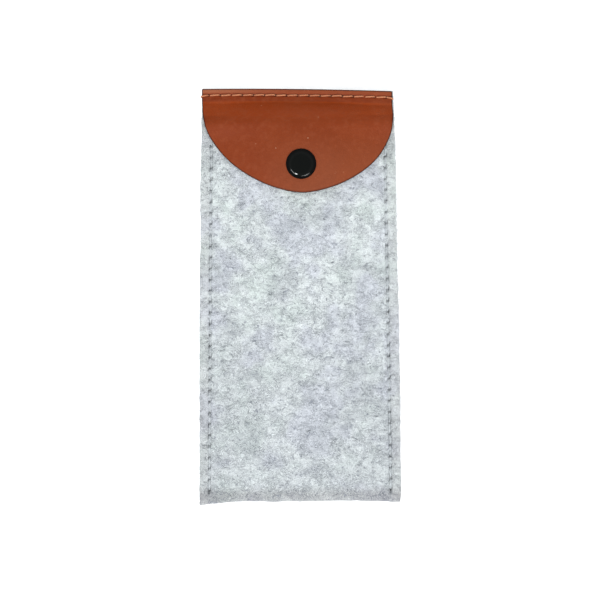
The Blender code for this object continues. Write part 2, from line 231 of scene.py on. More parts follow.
class Nodes:
    """Short ways to add the nodes of one material."""

    def __init__(self, name):
        self.material = bpy.data.materials.new(name)
        self.material.use_nodes = True
        self.tree = self.material.node_tree
        self.shader = self.tree.nodes["Principled BSDF"]
        self.place = self.add("ShaderNodeTexCoord").outputs["Object"]

    def add(self, kind, **settings):
        node = self.tree.nodes.new(kind)
        for key, value in settings.items():
            setattr(node, key, value)
        return node

    def put(self, socket, value):
        if isinstance(value, bpy.types.NodeSocket):
            self.tree.links.new(value, socket)
        else:
            socket.default_value = value

    def moved(self, scale, turn=(0, 0, 0), place=None, offset=(0, 0, 0)):
        node = self.add("ShaderNodeMapping")
        self.put(node.inputs["Vector"], place or self.place)
        self.put(node.inputs["Scale"], scale)
        self.put(node.inputs["Rotation"], turn)
        self.put(node.inputs["Location"], offset)
        return node.outputs[0]

    def noise(self, scale, detail=3.0, roughness=0.55, place=None, colour=False):
        node = self.add("ShaderNodeTexNoise")
        self.put(node.inputs["Vector"], place or self.place)
        self.put(node.inputs["Scale"], scale)
        self.put(node.inputs["Detail"], detail)
        self.put(node.inputs["Roughness"], roughness)
        return node.outputs["Color" if colour else "Fac"]

    def cells(self, scale, place=None, feature="F1"):
        node = self.add("ShaderNodeTexVoronoi", feature=feature)
        self.put(node.inputs["Vector"], place or self.place)
        self.put(node.inputs["Scale"], scale)
        return node.outputs["Distance"]

    def level(self, value, low, high, out_low=0.0, out_high=1.0):
        node = self.add("ShaderNodeMapRange", interpolation_type="SMOOTHSTEP")
        for socket, number in zip(("Value", "From Min", "From Max", "To Min", "To Max"),
                                  (value, low, high, out_low, out_high)):
            self.put(node.inputs[socket], number)
        return node.outputs[0]

    def maths(self, operation, one, two=0.0):
        node = self.add("ShaderNodeMath", operation=operation)
        self.put(node.inputs[0], one)
        self.put(node.inputs[1], two)
        return node.outputs[0]

    def blend(self, share, one, two):
        node = self.add("ShaderNodeMix", data_type="RGBA")
        self.put(node.inputs["Factor"], share)
        self.put(node.inputs["A"], one)
        self.put(node.inputs["B"], two)
        return node.outputs["Result"]

    def painted(self, name):
        return self.add("ShaderNodeAttribute", attribute_name=name).outputs["Fac"]

    def bump(self, height, distance, strength=1.0, under=None):
        node = self.add("ShaderNodeBump")
        self.put(node.inputs["Height"], height)
        self.put(node.inputs["Distance"], distance)
        self.put(node.inputs["Strength"], strength)
        if under:
            self.put(node.inputs["Normal"], under)
        return node.outputs[0]

    def finish(self, colour, roughness, normal=None, **constants):
        self.put(self.shader.inputs["Base Color"], colour)
        self.put(self.shader.inputs["Roughness"], roughness)
        if normal:
            self.put(self.shader.inputs["Normal"], normal)
        for name, value in constants.items():
            self.put(self.shader.inputs[name.replace("_", " ")], value)
        return self.material


def rgb(red, green, blue):
    """A screen colour of 0 to 255 as the linear colour that a shader takes."""
    shares = [value / 255 for value in (red, green, blue)]
    return (*[s / 12.92 if s <= 0.04045 else ((s + 0.055) / 1.055) ** 2.4 for s in shares], 1)


def felt_material():
    n = Nodes("grey_felt_look")
    swirl = n.noise(300, 1.5, 0.5, colour=True)
    shift = n.add("ShaderNodeVectorMath", operation="MULTIPLY_ADD")
    n.put(shift.inputs[0], swirl)
    n.put(shift.inputs[1], (0.004, 0.004, 0.004))
    n.put(shift.inputs[2], n.place)
    bent = shift.outputs[0]

    patches = n.noise(60, 2.0, 0.5)
    drifts = n.noise(1.0, 2.0, 0.5, n.moved((60, 80, 90), offset=(3, 8, 1)))
    clouds = n.noise(1.0, 4.0, 0.68, n.moved((205, 240, 260), place=bent))
    tufts = n.noise(1.0, 4.0, 0.7, n.moved((560, 850, 700), (0, 0, 0.2), bent))
    grain = n.noise(2400, 2.0, 0.7, bent)
    clumps = n.noise(1.0, 4.0, 0.72, n.moved((330, 620, 400), (0, 0, 0.25), bent, (7, 1, 4)))
    knots = n.cells(330, bent)
    wisps = []
    for turn, frequency in ((0.15, 2300), (-0.6, 2600), (0.9, 2000), (1.6, 2400)):
        scale = (frequency * 0.38, frequency, frequency * 0.5)
        place = n.moved(scale, (0, 0, turn), bent, (turn * 9, 2, turn))
        wisps.append(n.noise(1.0, 2.0, 0.6, place))
    dark = rgb(176, 182, 187)
    middle = rgb(234, 242, 243)
    pale = rgb(241, 247, 247)
    colour = n.blend(n.level(clouds, 0.34, 0.66), dark, pale)
    colour = n.blend(0.7, colour, middle)
    colour = n.blend(n.level(tufts, 0.5, 0.68, 0, 0.3), colour, rgb(234, 240, 242))
    colour = n.blend(n.level(tufts, 0.5, 0.32, 0, 0.36), colour, rgb(152, 158, 164))
    colour = n.blend(n.level(patches, 0.5, 0.64, 0, 0.4), colour, rgb(200, 202, 222))
    colour = n.blend(n.level(patches, 0.5, 0.36, 0, 0.4), colour, rgb(210, 226, 218))
    colour = n.blend(n.level(drifts, 0.5, 0.68, 0, 0.36), colour, rgb(174, 181, 186))
    colour = n.blend(n.level(drifts, 0.5, 0.32, 0, 0.45), colour, rgb(232, 239, 240))
    # Painted shade: the lower half and the fold darker, where the dark wisps also crowd more
    colour = n.blend(n.maths("MULTIPLY", n.painted("low"), 0.22), colour, rgb(172, 176, 184))
    colour = n.blend(n.maths("MULTIPLY", n.painted("fold"), 0.4), colour, rgb(150, 143, 140))
    crowd = n.level(clouds, 0.6, 0.4, 0.3, 0.85)
    crowd = n.maths("ADD", crowd, n.maths("MULTIPLY", n.painted("low"), 0.2))
    crowd = n.maths("ADD", crowd, n.maths("MULTIPLY", n.painted("fold"), 0.5))
    for wisp in wisps:
        ridge = n.maths("ABSOLUTE", n.maths("SUBTRACT", wisp, 0.5))
        thread = n.maths("MULTIPLY", n.level(ridge, 0.032, 0.0), crowd)
        colour = n.blend(n.maths("MULTIPLY", thread, 0.74), colour, rgb(80, 85, 94))
        colour = n.blend(n.level(wisp, 0.66, 0.76, 0, 0.35), colour, rgb(242, 246, 248))
    colour = n.blend(n.level(clumps, 0.43, 0.3, 0, 0.75), colour, rgb(118, 124, 136))
    colour = n.blend(n.level(knots, 0.19, 0.08, 0, 0.6), colour, rgb(108, 114, 124))
    colour = n.blend(n.level(grain, 0.52, 0.72, 0, 0.32), colour, rgb(240, 245, 247))
    colour = n.blend(n.level(grain, 0.46, 0.3, 0, 0.38), colour, rgb(138, 144, 152))
    colour = n.blend(n.maths("MULTIPLY", n.painted("margin"), 0.15), colour, rgb(180, 177, 172))
    colour = n.blend(n.maths("MULTIPLY", n.painted("shade"), 0.98), colour, rgb(40, 42, 46))
    fine = n.bump(n.maths("ADD", grain, wisps[0]), 0.00025, 0.8)
    coarse = n.bump(tufts, 0.0006, 0.7, fine)
    return n.finish(colour, 0.95, coarse, Sheen_Weight=0.2, Sheen_Roughness=0.6, Specular_IOR_Level=0.12)


def fibre_material(name, one, two):
    n = Nodes(name)
    tone = n.noise(500, 2.0)
    return n.finish(n.blend(n.level(tone, 0.35, 0.65), one, two), 0.85, Specular_IOR_Level=0.2)


def leather_material():
    n = Nodes("tan_leather_look")
    mottle = n.noise(60, 3.0, 0.6)
    fine_mottle = n.noise(420, 4.0, 0.65)
    pores = n.cells(2300)
    creases = n.cells(900, feature="DISTANCE_TO_EDGE")
    specks = n.cells(210)
    nap = n.noise(1500, 3.0, 0.7)
    tip_sheen = n.painted("tip_sheen")
    tone = n.painted("tone")
    inner = n.painted("inner")

    # Painted light and shade over the bend: a tone over half is painted paler where the bend lies in shade,
    # under half darker where the lights fall on it
    colour = n.blend(n.level(tone, 0.5, 1), rgb(129, 54, 24), rgb(149, 61, 21))
    colour = n.blend(n.level(tone, 0.5, 0), colour, rgb(108, 42, 17))
    # Painted sheen towards the flap's tip, paler and pinker there
    colour = n.blend(tip_sheen, colour, rgb(133, 68, 42))
    colour = n.blend(n.level(mottle, 0.35, 0.7, 0, 0.3), colour, rgb(144, 68, 36))
    colour = n.blend(n.level(fine_mottle, 0.45, 0.7, 0, 0.3), colour, rgb(150, 78, 50))
    # Painted sheen on the sewn strip above the stitches
    colour = n.blend(n.painted("strip_sheen"), colour, rgb(166, 103, 74))
    colour = n.blend(n.level(pores, 0.35, 0.12, 0, 0.3), colour, rgb(112, 46, 20))
    colour = n.blend(n.level(specks, 0.06, 0.025, 0, 0.6), colour, rgb(216, 170, 140))
    scuffs = n.maths("MULTIPLY", n.level(n.cells(620), 0.17, 0.06, 0, 0.6), n.level(mottle, 0.45, 0.7))
    colour = n.blend(n.maths("MULTIPLY", scuffs, tip_sheen), colour, rgb(190, 130, 96))
    suede = n.blend(n.level(nap, 0.35, 0.65), rgb(128, 78, 54), rgb(158, 106, 78))
    colour = n.blend(inner, colour, suede)
    # Dark edge paint on the cut edge with painted shade along it, and painted shade in the needle holes
    colour = n.blend(n.level(n.painted("edge"), 0.1, 0.75), colour, rgb(58, 30, 22))
    height = n.maths("ADD", n.level(pores, 0.1, 0.5), n.level(creases, 0.0, 0.12))
    bumps = n.bump(height, 0.00006, 0.8)
    bumps = n.bump(fine_mottle, 0.0002, 0.5, bumps)
    roughness = n.level(fine_mottle, 0.3, 0.7, 0.42, 0.58)
    roughness = n.maths("ADD", roughness, n.maths("MULTIPLY", inner, 0.35))
    return n.finish(colour, roughness, bumps, Specular_IOR_Level=0.05)


def thread_material(name, dark, pale, roughness):
    n = Nodes(name)
    strands = n.noise(2600, 3.0, 0.6)
    along = n.noise(180, 2.0)
    colour = n.blend(n.level(strands, 0.35, 0.65), dark, pale)
    colour = n.blend(n.level(along, 0.4, 0.7, 0, 0.4), colour, pale)
    return n.finish(colour, roughness, n.bump(strands, 0.00008), Sheen_Weight=0.2, Specular_IOR_Level=0.3)


def enamel_material():
    n = Nodes("black_enamel_look")
    dust = n.cells(1500)
    smear = n.noise(300, 4.0, 0.6)
    # Painted shade: the cap's turned-down rim painted darker than its top
    colour = n.blend(n.painted("rim"), rgb(14, 16, 15), rgb(2, 2, 2))
    colour = n.blend(n.level(dust, 0.06, 0.02, 0, 0.3), colour, rgb(66, 66, 64))
    roughness = n.level(smear, 0.35, 0.7, 0.05, 0.1)
    return n.finish(colour, roughness, n.bump(smear, 0.00002, 0.2), Specular_IOR_Level=0.08)


def plated_material():
    n = Nodes("black_nickel_look")
    brushed = n.noise(1.0, 3.0, 0.6, n.moved((900, 900, 9000)))
    stain = n.noise(400, 3.0)
    colour = n.blend(n.level(stain, 0.35, 0.7), rgb(74, 74, 78), rgb(104, 104, 106))
    roughness = n.level(brushed, 0.3, 0.7, 0.2, 0.36)
    return n.finish(colour, roughness, n.bump(brushed, 0.00002, 0.5), Metallic=1.0)


def floor_material():
    n = Nodes("pale_floor_look")
    tone = n.noise(8, 3.0)
    colour = n.blend(n.level(tone, 0.3, 0.7), rgb(246, 247, 248), rgb(250, 250, 250))
    glow = {"Emission_Color": (1, 1, 1, 1), "Emission_Strength": 0.36}
    return n.finish(colour, 0.7, Specular_IOR_Level=0.1, **glow)


FELT_LOOK = felt_material()
PALE_FIBRE = fibre_material("pale_fibre_look", rgb(214, 221, 225), rgb(240, 243, 245))
DARK_FIBRE = fibre_material("dark_fibre_look", rgb(84, 90, 98), rgb(142, 148, 154))
LEATHER_LOOK = leather_material()
TAN_THREAD = thread_material("tan_thread_look", rgb(170, 94, 56), rgb(214, 142, 98), 0.55)
GREY_THREAD = thread_material("grey_thread_look", rgb(172, 178, 182), rgb(212, 218, 221), 0.75)
ENAMEL = enamel_material()
PLATED = plated_material()


# ---------------------------------------------------------------- felt

# Grid lines near a seam, as distances from it
INSIDE_SEAM = (-1.7, -1.2, -0.8, -0.5, -0.25, 0)
OUTSIDE_SEAM = (0.25, 0.5, 0.8, 1.2, 1.8, 2.4, 3.0, 3.5, 3.75, 3.9)
SEAM_LINES = np.array([*INSIDE_SEAM, *OUTSIDE_SEAM]) * MM
# Grid lines at the top of the back panel, as distances in mm from its edge
TOP_LINES = (0, 0.3, 0.8, 1.4, 1.9, 2.25, 2.5, 2.75, 3, 3.25, 3.65, 4.4, 6, 7.6, 9.2, 10.8)
# Grid lines along a stitch, as shares of it
STITCH_LINES = (0, 0.07, 0.18, 0.36, 0.64, 0.82, 0.93)
FOLD_STEPS = 20
ACROSS = 58
# The groove along a seam, the wider hollow round it, and the dimple at each needle hole
GROOVE = 0.22 * MM
GROOVE_WIDTH = 0.75 * MM
ROW_GROOVE = 0.3 * MM
HOLLOW = 0.2 * MM
HOLLOW_WIDTH = 2 * MM
DIMPLE = 1.5 * MM
DIMPLE_WIDTH = 0.42 * MM
DIMPLE_LENGTH = 1.4 * DIMPLE_WIDTH
# The painted shade in a needle hole, which slants, along the line of stitches, and on the sheet's side
# edges
HOLE_SLANT = 0.4
HOLE_WIDTH = 0.44 * MM
HOLE_LENGTH = 1.0 * MM
LINE_SHADE = 0.13
LINE_WIDTH = 0.5 * MM
EDGE_SHADE = 0.2
# Where the snap presses the front panel down
SEAT_RADIUS = 5.6 * MM
SEAT_SLOPE = 1.2 * MM
SEAT_DEPTH = 0.85 * MM
SEAT_DEPTH_INSIDE = 0.5 * MM
# Waves as (features per metre, seed, height)
FELT_WAVES = ((320, 1, 0.16 * MM), (70, 2, 0.22 * MM))
SIDE_RIPPLES = ((260, 3, 0.22 * MM), (45, 4, 0.3 * MM))
FOLD_RIPPLES = ((60, 5, 0.25 * MM),)
# The fold is fuller than a half circle, and its corners hang lower than its middle
FOLD_FULLNESS = 0.4 * MM
SAG_HEIGHT = 4 * MM
CORNER_START = 27 * MM
CORNER_RUN = 15 * MM
LEFT_SAG = 1.3 * MM
RIGHT_SAG = 0.5 * MM
# Where the felt is painted a little darker: painted shade on its lower half and its fold, and the margins
# outside its seams
LOW_SHADE_START = 12 * MM
LOW_SHADE_RUN = 70 * MM
FOLD_SHADE_START = 7 * MM
FOLD_SHADE_RUN = 5 * MM
MARGIN_START = 0.3 * MM
MARGIN_RUN = 0.8 * MM
# The sheet's edge from the outer to the inner face, as (distance out, depth) in mm
EDGE_ROUND = ((0.1, 0.12), (0.2, 0.5), (0.2, 1.0), (0.2, 1.5), (0.2, 2.0), (0.1, 2.38))


def front_lines():
    """Y of the grid's lines on the front panel, from the fold up to the mouth."""
    holes = [y for _, y in seam_holes(1)]
    lines = [MOUTH_Y]
    for top in [MOUTH_Y + STITCH / 2, *holes]:
        for share in STITCH_LINES:
            y = top - share * STITCH
            if y < MOUTH_Y - 0.2 * MM and y > BOTTOM_Y + FELT + FOLD_GAP / 2:
                lines.append(y)
    lines.append(BOTTOM_Y + FELT + FOLD_GAP / 2 + 0.05 * MM)
    return sorted(set(lines))


def seam_dip(x, y):
    """How deep the stitches pull the felt in, and the painted shade there."""
    offset = x - np.where(x < 0, -1, 1) * seam_x(y)
    away = np.abs(offset)
    first = MOUTH_Y - STITCH / 2
    step = (first - y) / STITCH
    above_hole = (np.round(step) - step) * STITCH
    near_hole = np.abs(above_hole)
    within = (y < MOUTH_Y) & (y > BOTTOM_Y + FELT)
    groove = GROOVE * np.exp(-((away / GROOVE_WIDTH) ** 2)) + HOLLOW * np.exp(-((away / HOLLOW_WIDTH) ** 2))
    hole = DIMPLE * np.exp(-((away / DIMPLE_WIDTH) ** 2 + (near_hole / DIMPLE_LENGTH) ** 2))
    slanted = offset - HOLE_SLANT * above_hole
    shade = np.exp(-((slanted / HOLE_WIDTH) ** 2 + (near_hole / HOLE_LENGTH) ** 2))
    shade = np.maximum(shade, LINE_SHADE * np.exp(-((away / LINE_WIDTH) ** 2)))
    return np.where(within, groove + hole, 0), np.where(within, shade, 0)


def row_dip(x, y):
    """The same for the row that holds the flap, on the back panel."""
    away = np.abs(y - ROW_Y)
    step = x / STITCH - (len(row_holes()) - 1) / 2
    near_hole = np.abs(step - np.round(step)) * STITCH
    hole = np.exp(-((away**2 + near_hole**2) / DIMPLE_WIDTH**2))
    return ROW_GROOVE * np.exp(-((away / GROOVE_WIDTH) ** 2)) + DIMPLE * hole, hole


def snap_seat(x, y, depth):
    away = np.hypot(x - SNAP_X, y - SNAP_Y)
    return depth * (1 - smooth((away - SEAT_RADIUS) / SEAT_SLOPE))


def waves(points, layers):
    """The height of all these waves at each point."""
    return sum(noise_at(points, scale, seed) * height for scale, seed, height in layers)


def felt_rows():
    """Lines of the folded sheet as (part, value), from the back's top edge.

    The value is Y on the two panels and a turn in radians in the fold.
    """
    front = front_lines()
    top = [TOP_Y - below * MM for below in TOP_LINES]
    rows = [("back", y) for y in top] + [("back", y) for y in reversed(front)]
    rows += [("fold", math.pi * (k + 0.5) / FOLD_STEPS) for k in range(FOLD_STEPS)]
    rows += [("front", y) for y in front]
    return rows


def make_felt():
    shares = np.linspace(0, 1, ACROSS // 2, endpoint=False)
    half = [(s, SEAM_LINES[0] * s) for s in shares[1:]] + [(1, d) for d in SEAM_LINES]
    columns = [(-s, -d) for s, d in reversed(half)] + [(0, 0)] + half
    share = np.array([c[0] for c in columns])
    offset = np.array([c[1] for c in columns])
    loops = []
    shade_loops = []
    for kind, value in felt_rows():
        y = BOTTOM_Y if kind == "fold" else value
        x = share * seam_x(y) + offset
        if kind == "fold":
            radius = FELT + gap(x, y) / 2
            centre = BOTTOM_Y + radius
            direction = np.array([0, -math.sin(value), -math.cos(value)])
            low = centre - (radius + FOLD_FULLNESS) * math.sin(value)
            outer = np.stack([x, low, radius * (1 - math.cos(value))], 1)
            dip = np.zeros_like(x)
            shade = np.zeros_like(x)
        elif kind == "back":
            direction = np.array([0, 0, -1.0])
            outer = np.stack([x, np.full_like(x, y), np.zeros_like(x)], 1)
            dip, shade = row_dip(x, y) if y > MOUTH_Y + STITCH / 4 else seam_dip(x, y)
        else:
            direction = np.array([0, 0, 1.0])
            outer = np.stack([x, np.full_like(x, y), front_top(x, y)], 1)
            dip, shade = seam_dip(x, y)
            dip = dip + snap_seat(x, y, SEAT_DEPTH)
        inner = outer - direction * FELT
        if kind == "front":
            inner[:, 2] += snap_seat(x, y, SEAT_DEPTH_INSIDE)
        wave = waves(outer, FELT_WAVES)
        if kind == "back":
            wave = -np.abs(wave)
        outer = outer + direction * (wave - dip)[:, None]
        left = []
        right = []
        for spread, depth in EDGE_ROUND:
            for side, points, bag in ((-1, outer[0], left), (1, outer[-1], right)):
                bag.append(points - direction * depth * MM + np.array([side * spread * MM, 0, 0]))
        loops.append(np.concatenate([outer, right, inner[::-1], left[::-1]]))
        edge_shade = np.full(len(EDGE_ROUND), EDGE_SHADE)
        shade_loops.append(np.concatenate([shade, edge_shade, np.zeros(len(x)), edge_shade]))

    points = np.concatenate(loops)
    size = len(loops[0])
    count = len(loops)
    width = len(columns)
    edge = len(EDGE_ROUND)
    sides = smooth((np.abs(points[:, 0]) - seam_x(points[:, 1])) / SEAM_INSET)
    points[:, 0] += np.sign(points[:, 0]) * waves(points, SIDE_RIPPLES) * sides
    sag = smooth((BOTTOM_Y + SAG_HEIGHT - points[:, 1]) / SAG_HEIGHT)
    corner = smooth((np.abs(points[:, 0]) - CORNER_START) / CORNER_RUN)
    corner *= np.where(points[:, 0] < 0, LEFT_SAG, RIGHT_SAG)
    points[:, 1] -= sag * (corner + waves(points * [1, 0, 0], FOLD_RIPPLES))
    points = bulged(lowered(points))

    faces = []
    for i in range(count - 1):
        for k in range(size):
            after = (k + 1) % size
            faces.append((i * size + k, i * size + after, (i + 1) * size + after, (i + 1) * size + k))
    for start in (0, (count - 1) * size):
        for k in range(width - 1):
            mirror = 2 * width + edge - 1 - k
            faces.append((start + k, start + k + 1, start + mirror - 1, start + mirror))
        faces.append([start + k for k in range(width - 1, width + edge + 1)])
        faces.append([start + 2 * width + edge + k for k in range(-1, edge)] + [start])
    mesh = bpy.data.meshes.new("felt_pouch")
    mesh.from_pydata(points.tolist(), [], faces)
    face_outwards(mesh)
    obj = add_mesh("felt_pouch", mesh, FELT_LOOK, "pouch")
    paint(obj, "shade", np.concatenate(shade_loops))
    # Painted shade on the lower half and the fold
    paint(obj, "low", smooth((LOW_SHADE_START - points[:, 1]) / LOW_SHADE_RUN))
    paint(obj, "fold", smooth((BOTTOM_Y + FOLD_SHADE_START - points[:, 1]) / FOLD_SHADE_RUN))
    past_seam = np.abs(points[:, 0]) - seam_x(points[:, 1])
    paint(obj, "margin", smooth((past_seam - MARGIN_START) / MARGIN_RUN))
    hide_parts("felt_body")


def tubes(centres, radii, sides):
    """Closed tubes round many lines of as many points each. Centres are (lines, points, 3)."""
    lines, steps, _ = centres.shape
    along = np.gradient(centres, axis=1)
    along /= np.linalg.norm(along, axis=2, keepdims=True) + 1e-12
    up = np.zeros_like(along)
    up[..., 2] = 1
    up[np.abs(along[..., 2]) > 0.9] = (1, 0, 0)
    right = np.cross(along, up)
    right /= np.linalg.norm(right, axis=2, keepdims=True) + 1e-12
    up = np.cross(right, along)
    turns = np.arange(sides) * math.tau / sides
    ring = np.cos(turns)[:, None] * right[:, :, None, :] + np.sin(turns)[:, None] * up[:, :, None, :]
    points = centres[:, :, None, :] + ring * radii[..., None, None]
    index = np.arange(lines * steps * sides).reshape(lines, steps, sides)
    after = np.roll(index, -1, axis=2)
    walls = np.stack([index[:, :-1], index[:, 1:], after[:, 1:], after[:, :-1]], -1).reshape(-1, 4)
    caps = [index[:, 0].reshape(lines, sides), index[:, -1, ::-1].reshape(lines, sides)]
    faces = walls.tolist() + caps[0].tolist() + caps[1].tolist()
    return points.reshape(-1, 3), faces


FIBRE_POINTS = 5
BACK_SHARE = 0.3
HEADING_SPREAD = 0.6
CURL_SPREAD = 1.1
RIM_REACH = 0.9 * MM
RIM_HEIGHTS = (0.4, 5.0)
# Name, count, length, radius, height off the felt, look, and share of them at the pouch's side edges
FIBRES = (
    ("felt_pale_fibres", 5200, 2.2 * MM, 0.04 * MM, 0.3 * MM, PALE_FIBRE, 0.16),
    ("felt_dark_fibres", 4800, 1.9 * MM, 0.046 * MM, 0.1 * MM, DARK_FIBRE, 0.06),
)


def felt_fibres(name, count, length, radius, lift, finish, rim_share):
    """Loose fibres that lie on the felt's outer faces, some of them standing off its edges."""
    y = rng.uniform(BOTTOM_Y + 1 * MM, TOP_Y - 1 * MM, count)
    x = rng.uniform(-1, 1, count) * (half_width(y) - 0.3 * MM)
    on_rim = (rng.random(count) < rim_share) & (y < ARC_Y - 11 * MM)
    side = np.where(rng.random(count) < 0.5, -1, 1)
    x = np.where(on_rim, side * (half_width(y) - 0.1 * MM), x)
    on_back = (rng.random(count) < BACK_SHARE) & ~on_rim
    on_back |= (y > MOUTH_Y - 2 * MM) & ~on_rim
    lengths = length * rng.uniform(0.5, 1.5, count)
    heading = rng.normal(0, HEADING_SPREAD, count)
    curl = rng.normal(0, CURL_SPREAD, count)
    share = np.linspace(-0.5, 0.5, FIBRE_POINTS)
    angle = heading[:, None] + curl[:, None] * share
    step = lengths[:, None] / (FIBRE_POINTS - 1)
    px = x[:, None] + np.cumsum(np.cos(angle) * step, 1) - np.cos(heading)[:, None] * lengths[:, None] / 2
    py = y[:, None] + np.cumsum(np.sin(angle) * step, 1) - np.sin(heading)[:, None] * lengths[:, None] / 2
    room = half_width(py) + np.where(on_rim, RIM_REACH, -0.05 * MM)[:, None]
    px = np.clip(px, -room, room)
    top = np.where(y > MOUTH_Y, TOP_Y, MOUTH_Y)[:, None]
    py = np.clip(py, BOTTOM_Y + 1 * MM, top - 0.5 * MM)
    height = lift * rng.random(count)[:, None]
    raised = height * np.abs(np.sin((share + 0.5) * math.pi + rng.random(count)[:, None]))
    near_fold = np.sqrt(np.clip(1 - ((BOTTOM_Y + 4 * MM - py) / (4 * MM)).clip(0, 1) ** 2, 0, 1))
    high = front_top(np.clip(px, -half_width(py), half_width(py)), py)
    high = high / 2 + high / 2 * near_fold
    rim_z = rng.uniform(*RIM_HEIGHTS, count)[:, None] * MM
    rim_z = np.where(rng.random(count)[:, None] < 0.5, high, np.minimum(rim_z, high)) + lift * share * 2
    z = np.where(on_back[:, None], -0.02 * MM, high + raised)
    z = np.where(on_rim[:, None], rim_z, z)
    centres = np.stack([px, py, np.maximum(z, 0.02 * MM)], -1)
    radii = radius * (1 - 0.6 * np.abs(share * 2) ** 3) * rng.uniform(0.7, 1.2, count)[:, None]
    points, faces = tubes(centres, radii, 3)
    add_piece(name, bulged(points), faces, finish, "pouch")


# ---------------------------------------------------------------- leather flap

FLAP_ACROSS = 72
FLAP_DOWN = 56
FLAP_CROWDING = 1.35
MARGIN_LINES = np.array([0, 0.4, 0.9, 1.35, 1.7, 2.0, 2.2, 2.4, 2.6, 2.9, 3.3, 3.7, 4.2, 4.7]) * MM
# The cut edge from the outer to the inner face, as (distance out, depth) in mm
EDGE_INSET = 0.38 * MM
EDGE_RINGS = ((0.0, 0.0), (0.2, 0.05), (0.33, 0.2), (0.38, 0.45))
EDGE_RINGS += ((0.38, 0.8), (0.33, 1.05), (0.2, 1.2), (0.0, 1.25))
FLAT_RADIUS = 6.8 * MM
# The stitches' pull on the leather
PULL = 0.22 * MM
PULL_WIDTH = 0.8 * MM
PUCKER = 0.7 * MM
PUCKER_WIDTH = 0.55 * MM
# Painted shade in the needle holes, and on the top face's rim the dark edge paint with painted shade along
# it
HOLE_SHADE = 1.15
RIM_PAINT_AND_SHADE = 0.45
LEATHER_WAVE = 0.1 * MM


def crown(y):
    """Height of the flap's inner face along its middle, through knots of Y, height and slope."""
    mouth = front_top(0, MOUTH_Y) + 0.4 * MM
    knots = [(HINGE_Y, STRIP_Z, 0), (HINGE_Y - 2.1 * MM, STRIP_Z + 1 * MM, 1.2)]
    knots += [(MOUTH_Y + 1 * MM, mouth - 1.2 * MM, 1.2), (MOUTH_Y - 3 * MM, mouth + 1.75 * MM, 0.12)]
    knots += [(SNAP_Y, SNAP_LEATHER_Z, 0), (TIP_Y, front_top(0, TIP_Y) + 0.8 * MM, -0.16)]
    for start, end in zip(knots, knots[1:]):
        if y >= end[0]:
            break
    run = start[0] - end[0]
    return hermite((start[0] - y) / run, start[1], end[1], start[2] * run, end[2] * run)


def flap_inner(x, y):
    """Height of the flap's inner face: the CAD's shape, but flat round the snap's place here."""
    if y >= HINGE_Y:
        return STRIP_Z
    height = crown(y)
    share = min((height - STRIP_Z) / (crown(MOUTH_Y) - STRIP_Z), 1)
    side_drop = (middle_gap(y) - gap(x, y)) * share
    sag = max(height - front_top(0, y) - 0.8 * MM, 0) * smooth((MOUTH_Y - y) / (10 * MM))
    loose = height - side_drop - sag * smooth(abs(x) / FLAP_HALF_WIDTH)
    away = smooth((math.hypot(x - SNAP_X, y - SNAP_Y) - FLAT_RADIUS) / (2 * FLAT_RADIUS))
    return SNAP_LEATHER_Z + (loose - SNAP_LEATHER_Z) * away


def leather_dip(x, y):
    """The stitches' pull on the leather's outer face, and the painted shade in the needle holes."""
    away = abs(y - ROW_Y)
    step = x / STITCH - (len(row_holes()) - 1) / 2
    near_hole = abs(step - round(step)) * STITCH
    hole = math.exp(-((away**2 + near_hole**2) / PUCKER_WIDTH**2))
    return PULL * math.exp(-((away / PULL_WIDTH) ** 2)) + PUCKER * hole, hole


def leather_tones(x, y):
    """How much painted sheen the leather takes towards its tip, and its tone: half is plain, 1 paler and 0
    darker.

    The tone isn't wear: it is painted light and shade, paler where the bend lies in shade and darker where
    the lights fall on it, and offsets how the room's lights fall on the bend.
    """
    down = float(smooth((ROW_Y - 9 * MM - y) / (26 * MM)))
    across = min(abs(x) / FLAP_HALF_WIDTH, 1) ** 2
    shaded = float(smooth((HINGE_Y + 0.4 * MM - y) / (1.2 * MM)))
    shaded *= float(smooth((y - MOUTH_Y + 3.5 * MM) / (4 * MM))) * (1 - 0.5 * across)
    lit = float(smooth((y - HINGE_Y + 0.7 * MM) / (0.6 * MM)))
    lit *= float(smooth((ROW_Y - 0.7 * MM - y) / (0.6 * MM)))
    tip_sheen = down * float(smooth((x + 26 * MM) / (30 * MM)))
    return tip_sheen, 0.5 + 0.5 * shaded - 0.5 * lit * (0.15 + 0.55 * across)


def flap_column(k):
    """X of a column of the flap's grid, and the Y where it ends on the flap's round edge."""
    turn = math.pi * k / FLAP_ACROSS
    x = math.copysign(abs(math.cos(turn)) ** (2 / ARC_POWER), -math.cos(turn))
    return x * (FLAP_HALF_WIDTH - EDGE_INSET), ARC_Y - (ARC_DEPTH - EDGE_INSET) * math.sin(turn)


